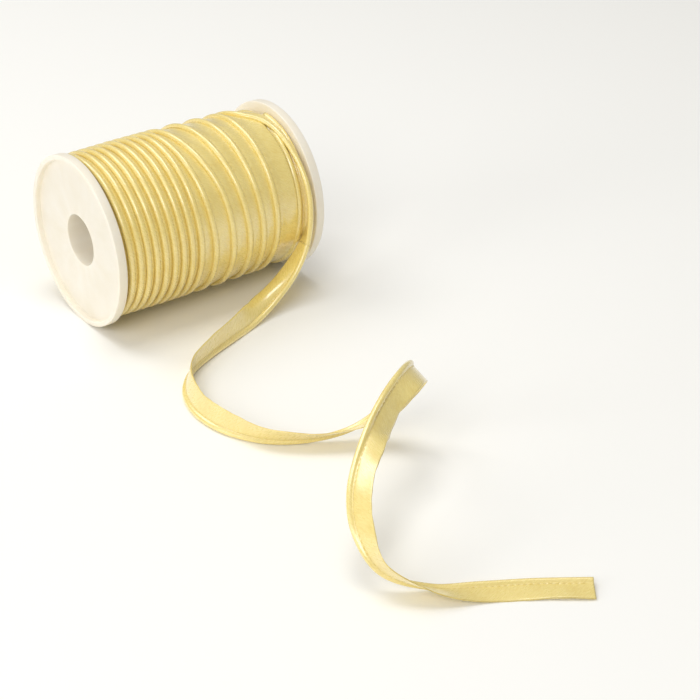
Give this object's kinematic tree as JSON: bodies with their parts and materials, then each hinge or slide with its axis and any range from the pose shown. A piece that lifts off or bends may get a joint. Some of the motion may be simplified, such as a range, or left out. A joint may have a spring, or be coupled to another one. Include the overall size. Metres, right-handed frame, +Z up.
{
  "type": "roll of piping trim on a reel",
  "caption": "Roll of satin piping trim wound on a plastic flanged reel, its loose end lying in curves in front.",
  "frame": {"origin": "under the middle of the reel, on the surface that its two rims rest on", "axes": "+X along the reel's axis towards the flange that the loose end leaves beside, -Y to the side where the loose end lies, +Z up"},
  "size_m": [0.1292, 0.3585, 0.0859],
  "materials": {
    "plastic": "translucent cream, satin smooth",
    "satin": "pale gold satin"
  },
  "bodies": {
    "root": {"reel_left": "plastic", "reel_right": "plastic", "wound_piping": "satin", "loose_end": "satin"}
  },
  "joints": []
}
